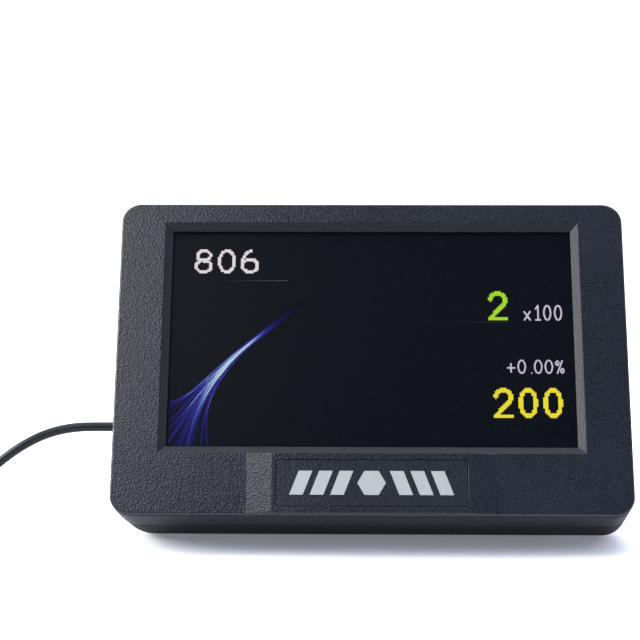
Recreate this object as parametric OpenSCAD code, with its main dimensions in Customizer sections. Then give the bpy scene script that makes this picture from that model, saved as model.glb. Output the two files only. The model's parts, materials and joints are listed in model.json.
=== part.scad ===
// Leaning customer display head with a folding rear leg and a thin data lead.
// Millimetres. +X is to the right of the screen, -Y is the front, +Z is up.
// The origin is the middle of the rubber strip's underside, on the table.
// Head coordinates: x across the face, y depth behind the face, z up the face.

/* [Face] */
// Width of the front face
face_w = 123.2; // [122:0.2:126]
// Height of the front face
face_h = 79; // [78:0.5:80]
// Corner radius of the front face
face_r = 4.8; // [4:0.1:6]
// Wall thickness of both shells
wall = 2; // [1.8:0.1:2.2]

/* [Window] */
// Width of the window opening
window_w = 97.7; // [96:0.1:98]
// Height of the window opening
window_h = 55.2; // [54.5:0.1:55.5]
// Height of the window's centre above the face's centre
window_z = 5; // [4.5:0.1:5]
// Width of the window's bevel
bevel_w = 1.9; // [1.2:0.1:2]
// Depth of the window's bevel
bevel_d = 1.3; // [1:0.1:1.4]

/* [Badge] */
// Width of the badge plate's recess
badge_w = 45.3; // [40:0.1:46]
// Height of the badge plate's recess
badge_h = 11.5; // [10:0.1:12]
// How far the badge pad stands out of the face
pad_rise = 1; // [0.6:0.1:1.2]

/* [Rear shell] */
// Depth at which the two shells meet
parting = 10.7; // [10.4:0.1:11]
// Radius of the rounded rear edge
rear_round = 10; // [9:0.5:10.5]
// Lower left corner radius of the rear shell, seen from the front
rear_r_left = 9; // [8:0.5:11]
// Lower right corner radius of the rear shell, seen from the front
rear_r_right = 5.5; // [3:0.5:6]

/* [Folding leg] */
// Width of the leg
leg_w = 24; // [20:1:24]
// Angle through which the leg folds
fold_angle = 50; // [48:1:52]
// Diameter of the hinge pin
pin_d = 3; // [2.6:0.1:3]

/* [Lead] */
// Diameter of the lead
cord_d = 2.4; // [2.2:0.1:2.6]

/* [Hidden] */

$fn = 48;
hull_fn = 32;      // facets round a corner that is hulled
skin = 0.01;       // thickness of a disc inside a hull
slip = 0.05;       // radial clearance of screws and of the hinge pin
lean = 30;         // lean of the face back from vertical

// Rear shell: where its straight walls end, and its full depth
straight_end = 17.9;
head_d = straight_end + rear_round;
rear_r_top = 8;
rear_step = 15;    // angle between the rings of the rounded rear edge

// Where the head stands: the centre of the lower rear edge's rounding sets the height
foot_proud = 0.6;
round_z = rear_round - face_h / 2;
face_z = foot_proud + rear_round + straight_end * sin(lean) - round_z * cos(lean);
strip_back = 3.5;  // how far the strip's middle lies behind that centre
face_y = -strip_back - straight_end * cos(lean) - round_z * sin(lean);
strip_w = 5;
strip_l = 90;
strip_h = 2.6;

// Screen module, from the front: glass, backlight, steel tray
module_w = 105.5;
module_h = 67.2;
module_z = 2.2;
module_y = 2;
module_d = 2.9;
sheet = 0.3;

// Case screws and their bosses
case_x = 55.9;
case_z = 33;
boss_r = 2.7;
case_screw_r = 1.25;
case_seat = 21;    // depth of the counterbore's floor
case_head_r = 2.2;
bracket_z = 20;
bracket_boss_r = 2.4;
small_screw_r = 0.9;

// Circuit board
board_w = 92;
board_h = 58;
board_y = 14;
board_t = 1.6;
board_hole_x = 42;
board_hole_z = 25;

// Fixing points for a pole bracket, four on a circle
mount_xz = 20;
insert_r = 2.3;
insert_l = 5;
insert_bore_r = 1.25;

// Lead outlet on the back
outlet_x = -43;
outlet_y = 32;
outlet_z = -8.7;
outlet_l = 15;
outlet_h = 13;
relief_l = 12;
cord_r = cord_d / 2;

// Clamp that grips the lead inside the case
clamp_x = -25;
clamp_y = 22.9;
clamp_z = 5;
clamp_w = 13;
clamp_h = 5;
clamp_t = 2;
clamp_screw_x = 4.2;

// Folding leg
hinge_y = head_d + 3.2;
hinge_z = 12;
barrel_r = 2.95;
leg_t = 2.9;
leg_open = fold_angle - lean;
lug_t = 4;
lug_gap = 0.5;
washer_t = 0.4;
pin_r = pin_d / 2;
hinge_world_y = face_y + hinge_y * cos(lean) + hinge_z * sin(lean);
hinge_world_z = face_z - hinge_y * sin(lean) + hinge_z * cos(lean);
leg_l = hinge_world_z / cos(leg_open);
foot_l = 8;

// Route of the lead from the outlet to the coil, then from the coil to the plug
exit_y = face_y + outlet_y * cos(lean) + outlet_z * sin(lean);
exit_z = face_z - outlet_y * sin(lean) + outlet_z * cos(lean);
coil_x = -123;
coil_y = 2;
turn_r = 13.5;     // radius of the middle of the coil's turns
coil_half = 4.8;   // half the width of the bundle of turns
outer_turn_r = turn_r + coil_half - cord_r;
route = [
    [outlet_x - relief_l, exit_y, exit_z], [-60, 19.1, 21.6], [-65, 19.1, 21.7], [-70, 19.1, 21.7],
    [-75, 19.1, 21.5], [-80, 19.1, 20.6], [-85, 19.1, 18.8], [-90, 19.1, 16], [-94, 19.1, 13.1],
    [-98, 19.1, 9.8], [-102, 19.1, 6.5], [-106, 19.1, 3.8], [-110, 19.1, 2], [-114, 19.1, 1.3],
    [-119, 19, 1.2], [coil_x, coil_y + outer_turn_r, 1.2]
];
tail = [for (p = [[0, 3.6], [5, 3.2], [10, 2.8], [15, 2.8], [20, 3.3], [25, 3.85], [28, 4], [29, 4]])
    [coil_x - outer_turn_r, coil_y - p[0], p[1]]];
cord_sides = 8;

// USB-style plug, lying on the table and pointing to the front
plug_x = coil_x - outer_turn_r;
plug_y = coil_y - 29;
plug_z = 4;
boot_l = 7;
grip_w = 15.5;
grip_l = 20;
shell_w = 12;
shell_h = 4.5;
shell_l = 13;
shell_t = 0.35;

// ---------------------------------------------------------------- helpers

// Head coordinates to the standing pose
module in_head() {
    translate([0, face_y, face_z]) rotate([-lean, 0, 0]) children();
}

// Leg coordinates (hinge axis at the origin, leg hanging down -Z) to the standing pose
module in_leg() {
    translate([0, hinge_world_y, hinge_world_z]) rotate([leg_open, 0, 0]) children();
}

// Extrudes a drawing of the face (x across, y up) from one depth to another
module depth(from, to) {
    translate([0, to, 0]) rotate([90, 0, 0]) linear_extrude(height = to - from) children();
}

// Rounded rectangle with true arcs
module round_rect(w, h, r) {
    square([w - 2 * r, h], center = true);
    square([w, h - 2 * r], center = true);
    for (sx = [-1, 1], sy = [-1, 1])
        translate([sx * (w / 2 - r), sy * (h / 2 - r)]) circle(r);
}

// Outline of the face, inset by an offset
module inset_face(inset) {
    round_rect(face_w - 2 * inset, face_h - 2 * inset, face_r - inset);
}

// Round bar along the depth
module bar(r, from, to) {
    translate([0, to, 0]) rotate([90, 0, 0]) cylinder(r = r, h = to - from);
}

// Copies at the four points (+-x, +-z) of the face
module four(x, z) {
    for (sx = [-1, 1], sz = [-1, 1]) translate([sx * x, 0, sz * z]) children();
}

// Cross-headed screw along the depth, its head on the rear side
module screw(r, head_r, head_h, length, seat) {
    difference() {
        union() {
            bar(r, seat - length, seat);
            bar(head_r, seat, seat + head_h);
        }
        for (turn = [0, 90])
            rotate([0, turn, 0])
                translate([-head_r * 0.65, seat + head_h * 0.45, -head_r * 0.14])
                    cube([head_r * 1.3, head_h, head_r * 0.28]);
    }
}

// The same screw turned round, with its head on the front side
module front_screw(r, head_r, head_h, length, seat) {
    translate([0, 2 * seat, 0]) mirror([0, 1, 0]) screw(r, head_r, head_h, length, seat);
}

// One ring of corner discs of the rear shell, inset from the outer wall
module corner_ring(at, inset, left_r, right_r, top_r) {
    for (c = [[-1, -1, left_r], [1, -1, right_r], [-1, 1, top_r], [1, 1, top_r]]) {
        r = max(c[2] - inset, 0.8);
        translate([c[0] * (face_w / 2 - inset - r), 0, c[1] * (face_h / 2 - inset - r)])
            bar(r, at, at + skin, $fn = hull_fn);
    }
}

// Body of the rear shell, shrunk by an offset on every side
module rear_body(shrink, front) {
    hull() {
        corner_ring(front, shrink, face_r, face_r, face_r);
        for (a = [0 : rear_step : 90])
            corner_ring(
                straight_end + (rear_round - shrink) * sin(a) - skin,
                shrink + (rear_round - shrink) * (1 - cos(a)),
                rear_r_left, rear_r_right, rear_r_top
            );
    }
}

// Direction of a route at point i
function along(p, i) =
    let (d = p[min(i + 1, len(p) - 1)] - p[max(i - 1, 0)]) d / norm(d);

// Ring of points round the route at point i; the route never runs along the side direction
function cord_ring(p, i, side) =
    let (
        t = along(p, i),
        s = cross(t, side) / norm(cross(t, side)),
        u = cross(s, t)
    )
    [for (k = [0 : cord_sides - 1])
        p[i] + cord_r * (cos(360 * k / cord_sides) * s + sin(360 * k / cord_sides) * u)];

// Round cord swept along a route
module cord(p, side = [0, 0, 1]) {
    rings = len(p);
    n = cord_sides;
    points = [for (i = [0 : rings - 1]) each cord_ring(p, i, side)];
    sides = [for (i = [0 : rings - 2], k = [0 : n - 1])
        [i * n + k, i * n + (k + 1) % n, (i + 1) * n + (k + 1) % n, (i + 1) * n + k]];
    first = [for (k = [0 : n - 1]) n - 1 - k];
    last = [for (k = [0 : n - 1]) (rings - 1) * n + k];
    polyhedron(points = points, faces = concat(sides, [first, last]), convexity = 4);
}

// ---------------------------------------------------------------- front shell

pad_flat = 23.5;   // half width of the badge pad's flat part
pad_foot = 29.5;   // half width where its ramps meet the face
pad_clear = 0.2;   // face left between the pad's top end and the window's bevel
pad_top = window_z - window_h / 2 - bevel_w - pad_clear;
badge_z = -32;
badge_sink = 1;
lip_t = 1.6;       // thickness of the face plate round the window
edge = 0.5;        // front edge rounding

module badge_pad() {
    translate([0, 0, -face_h / 2 + edge])
        linear_extrude(height = face_h / 2 - edge + pad_top)
            polygon([[-pad_foot, 0], [-pad_flat, -pad_rise], [pad_flat, -pad_rise], [pad_foot, 0],
                [pad_foot, 0.5], [-pad_foot, 0.5]]);
}

module window_bevel() {
    translate([0, 0, window_z]) hull() {
        depth(-skin, 0) square([window_w + 2 * bevel_w, window_h + 2 * bevel_w], center = true);
        depth(bevel_d, bevel_d + skin) square([window_w, window_h], center = true);
    }
}

module front_bezel() color("#33363c") in_head() difference() {
    union() {
        difference() {
            hull() {
                depth(0, skin) inset_face(edge, $fn = hull_fn);
                depth(edge * 0.3, edge * 0.3 + skin) inset_face(edge * 0.3, $fn = hull_fn);
                depth(edge, parting) inset_face(0, $fn = hull_fn);
            }
            depth(lip_t, parting + 1) inset_face(wall);
        }
        badge_pad();
        four(case_x, case_z) bar(boss_r, lip_t - 0.1, parting);
        four(case_x, bracket_z) bar(bracket_boss_r, lip_t - 0.1, module_y + module_d);
    }
    window_bevel();
    translate([0, 0, window_z]) depth(0, lip_t + 1) square([window_w, window_h], center = true);
    translate([0, 0, badge_z]) depth(-pad_rise - 1, badge_sink - pad_rise) round_rect(badge_w, badge_h, 0.8);
    four(case_x, case_z) bar(case_screw_r + slip, 3.5, parting + 1);
    four(case_x, bracket_z) bar(small_screw_r + slip, lip_t, module_y + module_d + 1);
}

plate_gap = 0.2;
plate_t = 0.9;

module badge_plate() color("#33363c") in_head()
    translate([0, 0, badge_z]) depth(badge_sink - pad_rise - plate_t, badge_sink - pad_rise)
        round_rect(badge_w - 2 * plate_gap, badge_h - 2 * plate_gap, 0.6);

// Plain emblem: a hexagon between two runs of slanted bars
mark_h = 5.8;
mark_t = 0.12;
mark_slant = 2.2;
mark_bar_w = 3.2;
mark_pitch = 4.8;
mark_first = 7;

// Slanted bar, leaning towards the middle of the emblem
module mark_bar(side) {
    half = mark_bar_w / 2;
    shift = side * mark_slant / 2;
    polygon([[-half + shift, -mark_h / 2], [half + shift, -mark_h / 2],
        [half - shift, mark_h / 2], [-half - shift, mark_h / 2]]);
}

module badge_mark() color("#b9c2c6") in_head()
    translate([0, 0, badge_z])
        depth(badge_sink - pad_rise - plate_t - mark_t, badge_sink - pad_rise - plate_t) {
            circle(r = mark_h / 2 / cos(30), $fn = 6);
            for (side = [-1, 1], i = [0 : 2])
                translate([side * (mark_first + i * mark_pitch), 0]) mark_bar(side);
        }

// ---------------------------------------------------------------- screen module

module lcd_gasket() color("#17181a") in_head()
    translate([0, 0, window_z]) depth(lip_t, module_y) difference() {
        square([window_w + 4.4, window_h + 3.6], center = true);
        square([window_w + 0.8, window_h + 0.8], center = true);
    }

glass_t = 1.2;
glass_w = module_w - 1;
glass_h = module_h - 1;

module lcd_glass() color("#05060c") in_head()
    translate([0, 0, module_z]) depth(module_y + sheet, module_y + sheet + glass_t)
        square([glass_w, glass_h], center = true);

module lcd_backlight() color("#e8e8e2") in_head()
    translate([0, 0, module_z]) depth(module_y + sheet + glass_t, module_y + module_d - sheet)
        square([glass_w, glass_h], center = true);

module lcd_frame() color("#9fa3a6") in_head() difference() {
    translate([0, 0, module_z]) depth(module_y, module_y + module_d)
        square([module_w, module_h], center = true);
    translate([0, 0, module_z]) depth(module_y + sheet, module_y + module_d - sheet)
        square([glass_w, glass_h], center = true);
    translate([0, 0, window_z]) depth(module_y - 1, module_y + sheet + 0.1)
        square([window_w + 0.6, window_h + 0.6], center = true);
    // Slot for the ribbon in the tray's back
    translate([-16, module_y + module_d - sheet - 0.1, -28]) cube([32, 1, 2]);
}

// Sheet clips, screwed to bosses beside the module and reaching over its back
bracket_t = 0.6;
bracket_w = 8;
bracket_reach = 9;
module lcd_brackets() color("#a9adb0") in_head() difference() {
    for (sx = [-1, 1], sz = [-1, 1])
        translate([sx * (case_x + bracket_boss_r - bracket_reach / 2) - bracket_reach / 2,
            module_y + module_d, sz * bracket_z - bracket_w / 2])
            cube([bracket_reach, bracket_t, bracket_w]);
    four(case_x, bracket_z) bar(small_screw_r + slip, module_y, 2 * board_y);
}

module lcd_screws() color("#6b6e72") in_head()
    four(case_x, bracket_z)
        screw(small_screw_r, 1.9, 1.2, 3, module_y + module_d + bracket_t);

flex_t = 0.2;
module lcd_flex() color("#b0742a") in_head()
    translate([-15, 0, 0]) rotate([90, 0, 90]) linear_extrude(height = 30)
        polygon([[4.6, -27], [6.5, -27], [7.5, -26.4], [8, -25], [8.6, -23.6], [9.8, -23],
            [11.2, -23], [11.2, -22.8], [9.7, -22.8], [8.45, -23.45], [7.8, -24.9], [7.3, -26.25],
            [6.4, -26.8], [4.6, -26.8]]);

// ---------------------------------------------------------------- circuit board

module main_board() color("#1d6b3a") in_head() difference() {
    depth(board_y, board_y + board_t) square([board_w, board_h], center = true);
    four(board_hole_x, board_hole_z) bar(1.3, board_y - 1, board_y + board_t + 1);
}

// Block standing on the front (side -1) or the rear (side +1) of the board
module on_board(x, z, w, h, t, side) {
    from = side < 0 ? board_y - t : board_y + board_t;
    translate([x - w / 2, from, z - h / 2]) cube([w, t, h]);
}

module board_chips() color("#202226") in_head() {
    on_board(0, 6, 14, 14, 1.4, -1);
    on_board(22, 8, 8, 5, 1.6, -1);
    on_board(-22, 9, 10, 6, 1.2, -1);
    on_board(-24, -6, 5, 4, 1.4, -1);
    on_board(28, -8, 6.5, 3.5, 2.2, -1);
    on_board(10, 10, 9, 7, 1.6, 1);
    on_board(28, 6, 5, 5, 1.2, 1);
}

module board_connectors() color("#e6e2d3") in_head() {
    on_board(0, -22.9, 34, 4, 2.8, -1);
    on_board(clamp_x, 16, 12.5, 5, 5.5, 1);
    on_board(34, -14, 8, 10, 4, 1);
}

module board_capacitors() color("#23324a") in_head() {
    for (p = [[-8, -16, 3], [2, -16, 3], [12, -16, 2.5]])
        translate([p[0], 0, p[1]]) bar(p[2], board_y + board_t, board_y + board_t + 6);
    on_board(22, -16, 7, 7, 4, 1);
}

module board_screws() color("#8b8e92") in_head()
    four(board_hole_x, board_hole_z) front_screw(1.2, 2.1, 1.4, 6, board_y);

// ---------------------------------------------------------------- rear shell

post_r = 2.9;
tongue_t = 1;
tongue_gap = 0.15;
tongue_l = 1.5;
vent_x = 42;
vent_w = 1.5;
vent_l = 12;
vent_pitch = 3.6;
vents = 6;

module outlet_box(grow, from, to) {
    translate([outlet_x + grow, from, outlet_z - outlet_h / 2 + grow])
        cube([outlet_l - 2 * grow, to - from, outlet_h - 2 * grow]);
}

outlet_top = outlet_y + 6.2;
outlet_t = 1.8;
relief_r = 3.2;

// Blank label, and the shallow pocket it lies in
module label_plate(gap, thick) {
    translate([24 + gap, head_d - 0.3, gap - 20]) cube([28 - 2 * gap, thick, 20 - 2 * gap]);
}

module rear_cover() color("#26292e") in_head() difference() {
    union() {
        difference() {
            rear_body(0, parting);
            rear_body(wall, parting - 1);
        }
        // Tongue that locates the front shell, and its root inside the wall
        difference() {
            union() {
                depth(parting - tongue_l, parting + tongue_l) inset_face(wall + tongue_gap);
                depth(parting, parting + tongue_l) inset_face(wall - 0.1);
            }
            depth(parting - 2 * tongue_l, parting + 2 * tongue_l) inset_face(wall + tongue_gap + tongue_t);
            four(case_x, case_z) bar(boss_r + 0.2, 0, parting);
        }
        intersection() {
            four(case_x, case_z) bar(post_r, parting, head_d);
            rear_body(0, parting);
        }
        four(board_hole_x, board_hole_z) bar(2.6, board_y + board_t, head_d - wall + 0.1);
        four(mount_xz, mount_xz) bar(insert_r + 1.2, head_d - insert_l - 1.2, head_d - 0.1);
        // Hinge lugs of the folding leg
        for (sx = [-1, 1])
            translate([sx * (leg_w / 2 + lug_gap + lug_t / 2) - lug_t / 2, 0, hinge_z]) {
                translate([0, hinge_y, 0]) rotate([0, 90, 0]) cylinder(r = barrel_r, h = lug_t);
                translate([0, head_d - 1, -barrel_r]) cube([lug_t, hinge_y - head_d + 1, 2 * barrel_r]);
            }
        outlet_box(0, head_d - 1, outlet_top);
        // Seat of the lead clamp
        translate([clamp_x - clamp_w / 2, clamp_y, clamp_z - clamp_h / 2])
            cube([clamp_w, head_d - wall - clamp_y + 0.1, clamp_h]);
    }
    four(case_x, case_z) {
        bar(case_screw_r + 2 * slip, parting - 1, case_seat + 1);
        bar(case_head_r + 0.3, case_seat, head_d + 1);
    }
    four(board_hole_x, board_hole_z) bar(1.2 + slip, board_y, head_d - wall - 1);
    four(mount_xz, mount_xz) bar(insert_r, head_d - insert_l, head_d + 1);
    translate([-50, hinge_y, hinge_z]) rotate([0, 90, 0]) cylinder(r = pin_r + 0.02, h = 100);
    outlet_box(outlet_t, head_d - wall - 1, outlet_top - outlet_t);
    translate([outlet_x - 1, outlet_y, outlet_z]) rotate([0, 90, 0]) cylinder(r = relief_r, h = 4);
    for (i = [0 : vents - 1])
        translate([vent_x + (i - (vents - 1) / 2) * vent_pitch - vent_w / 2, head_d - 5, 12])
            cube([vent_w, 10, vent_l]);
    label_plate(0, 1);
    lead_groove();
    for (sx = [-1, 1])
        translate([clamp_x + sx * clamp_screw_x, 0, clamp_z])
            bar(small_screw_r + slip, clamp_y - 1, clamp_y + 2.4);
}

module cover_screws() color("#55585d") in_head()
    four(case_x, case_z) screw(case_screw_r, case_head_r, 1.8, 16, case_seat);

module mount_inserts() color("#c9a24a") in_head()
    four(mount_xz, mount_xz) difference() {
        bar(insert_r, head_d - insert_l, head_d);
        bar(insert_bore_r, head_d - insert_l - 1, head_d + 1);
    }

module foot_strip() color("#1a1a1c") difference() {
    union() {
        translate([-strip_l / 2 + strip_w / 2, -strip_w / 2, 0]) cube([strip_l - strip_w, strip_w, strip_h]);
        for (sx = [-1, 1])
            translate([sx * (strip_l - strip_w) / 2, 0, 0]) cylinder(r = strip_w / 2, h = strip_h);
    }
    in_head() rear_body(0, parting);
}

module rating_label() color("#b8babc") in_head() label_plate(0.2, 0.2);

// ---------------------------------------------------------------- lead outlet

module strain_relief() color("#151517") in_head()
    translate([outlet_x, outlet_y, outlet_z]) rotate([0, -90, 0]) rotate_extrude()
        polygon([[cord_r, -3.4], [relief_r + 0.9, -3.4], [relief_r + 0.9, -1.9], [relief_r - 0.02, -1.9],
            [relief_r - 0.02, 0], [relief_r + 0.6, 0], [relief_r + 0.6, 1], [2.9, 1.4], [2, relief_l],
            [cord_r, relief_l]]);

// Lead inside the case: through the boot, down into the case, past the clamp and into the header
module inner_lead() color("#151517") in_head()
    cord([[outlet_x - relief_l, outlet_y, outlet_z], [-49, outlet_y, outlet_z], [-43, outlet_y, outlet_z],
        [-39, outlet_y, outlet_z], [-37.45, 31.8, outlet_z], [-35.56, 30.91, outlet_z],
        [-34.09, 29.44, outlet_z], [-33.2, 27.55, outlet_z], [-33, 26, outlet_z], [-32.68, 24.45, -8.43],
        [-31.81, 23.32, -7.7], [-30.63, clamp_y, -6.71], [-28.9, clamp_y, -5.26], [-27.14, clamp_y, -3.78],
        [-26.09, clamp_y, -2.62], [-25.36, clamp_y, -1.23], [clamp_x, clamp_y, 0.9],
        [clamp_x, clamp_y, 4], [clamp_x, clamp_y, 7.6], [clamp_x, 22.6, 8.9], [clamp_x, 21.6, 10.2],
        [clamp_x, 20.2, 11.3], [clamp_x, 19.1, 12.2], [clamp_x, 18.7, 12.9], [clamp_x, 18.7, 13.45]],
        side = [1, 1, -1]);

// Room for the lead between the clamp and its seat
module lead_groove() {
    translate([clamp_x, clamp_y, clamp_z - 5]) cylinder(r = cord_r + slip, h = 10);
}

module lead_clamp() color("#d8d6cc") in_head() difference() {
    translate([clamp_x - clamp_w / 2, clamp_y - clamp_t, clamp_z - clamp_h / 2])
        cube([clamp_w, clamp_t, clamp_h]);
    lead_groove();
    for (sx = [-1, 1])
        translate([clamp_x + sx * clamp_screw_x, 0, clamp_z])
            bar(small_screw_r + slip, clamp_y - clamp_t - 1, clamp_y + 1);
}

module clamp_screws() color("#8b8e92") in_head()
    for (sx = [-1, 1])
        translate([clamp_x + sx * clamp_screw_x, 0, clamp_z])
            front_screw(small_screw_r, 1.6, 1.1, clamp_t + 2.2, clamp_y - clamp_t);

// ---------------------------------------------------------------- folding leg

washer_in = leg_w / 2 + (lug_gap - washer_t) / 2;

module hinge_pin() color("#b4b8bb") in_head()
    translate([0, hinge_y, hinge_z]) rotate([0, 90, 0]) {
        translate([0, 0, -leg_w / 2 - lug_gap - lug_t - 0.6])
            cylinder(r = pin_r, h = leg_w + 2 * (lug_gap + lug_t) + 2);
        translate([0, 0, -leg_w / 2 - lug_gap - lug_t - 1.4]) cylinder(r = pin_r + 0.9, h = 1.3);
    }

module hinge_washers() color("#c4c7c9") in_head()
    for (sx = [-1, 1])
        translate([sx * (washer_in + washer_t / 2) - washer_t / 2, hinge_y, hinge_z]) rotate([0, 90, 0])
            difference() {
                cylinder(r = barrel_r - 0.3, h = washer_t);
                translate([0, 0, -1]) cylinder(r = pin_r + slip, h = 3);
            }

module hinge_retainer() color("#8d9194") in_head()
    translate([leg_w / 2 + lug_gap + lug_t + 0.15, hinge_y, hinge_z]) rotate([0, 90, 0]) difference() {
        cylinder(r = pin_r + 1.1, h = 0.7);
        translate([0, 0, -1]) cylinder(r = pin_r + 0.02, h = 3);
    }

module leg_blank() {
    translate([-leg_w / 2, -leg_t, -leg_l - 5]) cube([leg_w, leg_t, leg_l + 5]);
}

module above_table(height) {
    translate([-leg_w, -100, height]) cube([2 * leg_w, 300, 200]);
}

rib_t = 1.4;
rib_h = 1.4;

module stand_leg() color("#26292e") difference() {
    union() {
        intersection() {
            in_leg() union() {
                leg_blank();
                for (sx = [-1, 0, 1])
                    translate([sx * (leg_w / 2 - rib_t / 2 - 0.8) - rib_t / 2, -0.1, -leg_l])
                        cube([rib_t, rib_h + 0.1, leg_l]);
            }
            above_table(3.4);
        }
        in_leg() translate([-leg_w / 2, 0, 0]) rotate([0, 90, 0]) cylinder(r = barrel_r, h = leg_w);
        // Heel that meets the cover when the leg is fully open
        in_head() translate([-leg_w / 2, head_d + 0.06, hinge_z]) cube([leg_w, barrel_r, 4.5]);
    }
    in_leg() translate([-leg_w, 0, 0]) rotate([0, 90, 0]) cylinder(r = pin_r + slip, h = 2 * leg_w);
    // Finger scoop on the face that lies against the case
    in_leg() translate([0, -leg_t - 5.2, -leg_l + 12]) sphere(r = 7);
}

module stand_foot() color("#1a1a1c") difference() {
    intersection() {
        in_leg() translate([-leg_w / 2 - 0.8, -leg_t - 0.1, -leg_l - 6])
            cube([leg_w + 1.6, leg_t + rib_h + 0.9, foot_l + 6]);
        above_table(0);
    }
    stand_leg();
}

// ---------------------------------------------------------------- lead outside the case

module cord_cable() color("#101012") cord(route);

module cord_tail() color("#101012") cord(tail);

// Bundle of round turns lying on the table
module cord_coil() color("#101012")
    translate([coil_x, coil_y, coil_half]) rotate_extrude()
        translate([turn_r, 0]) round_rect(2 * coil_half, 2 * coil_half, 2.2);

// Tie round the bundle on its right side
tie_t = 0.7;
tie_w = 5;
module cord_tie() color("#2a2a2c") difference() {
    translate([coil_x + turn_r, coil_y - tie_w / 2, coil_half]) rotate([-90, 0, 0])
        linear_extrude(height = tie_w) intersection() {
            round_rect(2 * (coil_half + tie_t + 0.3), 2 * (coil_half + tie_t), 2.6);
            translate([-20, -20]) square([40, 20 + coil_half - 0.05]);
        }
    translate([coil_x, coil_y, coil_half]) rotate_extrude()
        translate([turn_r, 0]) round_rect(2 * coil_half, 2 * coil_half, 2.2);
}

module plug_overmould() color("#151517") translate([plug_x, plug_y, plug_z]) difference() {
    union() {
        rotate([90, 0, 0]) cylinder(r1 = 1.9, r2 = 2.6, h = boot_l, $fn = 40);
        translate([0, -boot_l, 0]) rotate([90, 0, 0]) linear_extrude(height = grip_l)
            round_rect(grip_w, 2 * plug_z, 1.8);
    }
    rotate([90, 0, 0]) translate([0, 0, -1]) cylinder(r = cord_r, h = 1);
}

module plug_shell() color("#c8cbce")
    translate([plug_x, plug_y - boot_l - grip_l, plug_z]) rotate([90, 0, 0]) linear_extrude(height = shell_l)
        difference() {
            round_rect(shell_w, shell_h, 0.5);
            square([shell_w - 2 * shell_t, shell_h - 2 * shell_t], center = true);
        }

tongue_h = 1.9;
module plug_insulator() color("#f0f0ee")
    translate([plug_x - shell_w / 2 + shell_t, plug_y - boot_l - grip_l - shell_l + 0.6,
        plug_z - shell_h / 2 + shell_t])
        cube([shell_w - 2 * shell_t, shell_l - 0.6, tongue_h]);

module plug_contacts() color("#d8b45a")
    for (i = [-1.5 : 1 : 1.5])
        translate([plug_x + i * 2.3 - 0.5, plug_y - boot_l - grip_l - shell_l + 1.6,
            plug_z - shell_h / 2 + shell_t + tongue_h])
            cube([1, 8, 0.15]);

front_bezel();
badge_plate();
badge_mark();
lcd_gasket();
lcd_glass();
lcd_frame();
lcd_backlight();
lcd_brackets();
lcd_screws();
lcd_flex();
main_board();
board_chips();
board_connectors();
board_capacitors();
board_screws();
rear_cover();
cover_screws();
mount_inserts();
foot_strip();
rating_label();
strain_relief();
inner_lead();
lead_clamp();
clamp_screws();
hinge_pin();
hinge_washers();
hinge_retainer();
stand_leg();
stand_foot();
cord_cable();
cord_coil();
cord_tail();
cord_tie();
plug_overmould();
plug_shell();
plug_insulator();
plug_contacts();
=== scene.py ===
"""Customer display head: the looks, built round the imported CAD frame.

Everything is in the frame's own axes: +X to the right of the screen, -Y to the front, +Z up.
Pieces of the head are drawn in head coordinates, in millimetres: x across the face, depth behind the
face, z up the face. HEAD turns those into the frame's metres.
"""
import json
import math
import random

import bmesh
import bpy
import numpy as np
from mathutils import Matrix, Vector


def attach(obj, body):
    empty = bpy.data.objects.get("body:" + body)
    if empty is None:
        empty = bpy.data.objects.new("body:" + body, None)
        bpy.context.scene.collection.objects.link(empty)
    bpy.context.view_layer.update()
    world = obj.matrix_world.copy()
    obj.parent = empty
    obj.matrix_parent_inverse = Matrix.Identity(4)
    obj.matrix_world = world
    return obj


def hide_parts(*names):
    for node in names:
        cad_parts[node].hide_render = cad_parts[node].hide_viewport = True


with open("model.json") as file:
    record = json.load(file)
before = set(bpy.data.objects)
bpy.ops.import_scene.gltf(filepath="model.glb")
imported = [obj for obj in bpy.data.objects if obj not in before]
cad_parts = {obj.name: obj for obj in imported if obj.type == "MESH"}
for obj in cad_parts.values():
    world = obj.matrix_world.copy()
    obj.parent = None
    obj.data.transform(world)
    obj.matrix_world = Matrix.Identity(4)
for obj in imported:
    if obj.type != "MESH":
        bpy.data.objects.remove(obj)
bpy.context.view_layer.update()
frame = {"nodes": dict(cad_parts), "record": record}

MM = 0.001
scene = bpy.context.scene


def add_object(name, data):
    item = bpy.data.objects.new(name, data)
    scene.collection.objects.link(item)
    return item


# ---------------------------------------------------------------- where the head stands

HEAD_DEPTH = 27.9
bracket = next(m for m in frame["record"]["mounts"] if m["name"] == "pole_bracket_inserts")
depth_axis = Vector(bracket["axis"]).normalized()
up_axis = Vector((1, 0, 0)).cross(depth_axis)
face_centre = Vector(bracket["pos_m"]) - depth_axis * HEAD_DEPTH * MM
HEAD = Matrix.Translation(face_centre) @ Matrix((
    (1, depth_axis.x, up_axis.x, 0),
    (0, depth_axis.y, up_axis.y, 0),
    (0, depth_axis.z, up_axis.z, 0),
    (0, 0, 0, 1),
)) @ Matrix.Scale(MM, 4)

FACE_W = 123.2
FACE_H = 79.0
FACE_R = 4.8
PARTING = 10.7
# Corner radii go lower left, lower right, upper right, upper left
SEAM_RADII = (6.6, 5.1, 4.8, 4.8)
WINDOW_W = 97.7
WINDOW_H = 55.2
WINDOW_Z = 5.0
BEVEL_W = 1.9
BEVEL_D = 1.3
LIP_T = 1.6
WALL = 2.0
BADGE_W = 45.3
BADGE_H = 11.5
BADGE_Z = -32.0
BADGE_R = 0.8
PAD_RISE = 1.0
PAD_FLAT = 23.5
PAD_FOOT = 29.5
PAD_TOP = WINDOW_Z - WINDOW_H / 2 - BEVEL_W - 0.2

# ---------------------------------------------------------------- camera

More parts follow.
